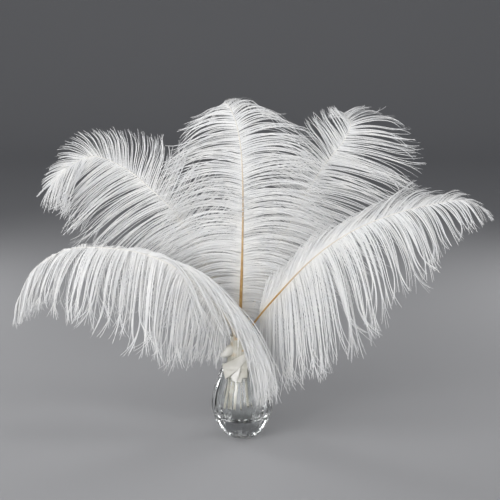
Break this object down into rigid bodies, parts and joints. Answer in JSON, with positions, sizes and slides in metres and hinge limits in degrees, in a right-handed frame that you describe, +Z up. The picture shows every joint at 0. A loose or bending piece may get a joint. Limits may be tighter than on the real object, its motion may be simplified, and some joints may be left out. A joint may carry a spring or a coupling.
{
  "type": "ostrich feather arrangement in a glass vase",
  "caption": "White ostrich plumes fanned out of a paper wrap that stands in a small egg-shaped cut-glass vase.",
  "frame": {"origin": "centre of the vase's flat foot", "axes": "+Z up out of the vase, +X to the right along the fan's width, -Y the way the plumes face"},
  "size_m": [0.5849, 0.2448, 0.4275],
  "materials": {
    "plume": "soft matt white down",
    "white_paper": "matt, slightly creased",
    "clear_glass": "clear, cut and polished"
  },
  "bodies": {
    "root": {"vase": "clear_glass", "paper_wrap": "white_paper", "feather_centre": "plume", "feather_upper_left": "plume", "feather_upper_right": "plume", "feather_lower_left": "plume", "feather_lower_right": "plume"}
  },
  "joints": []
}
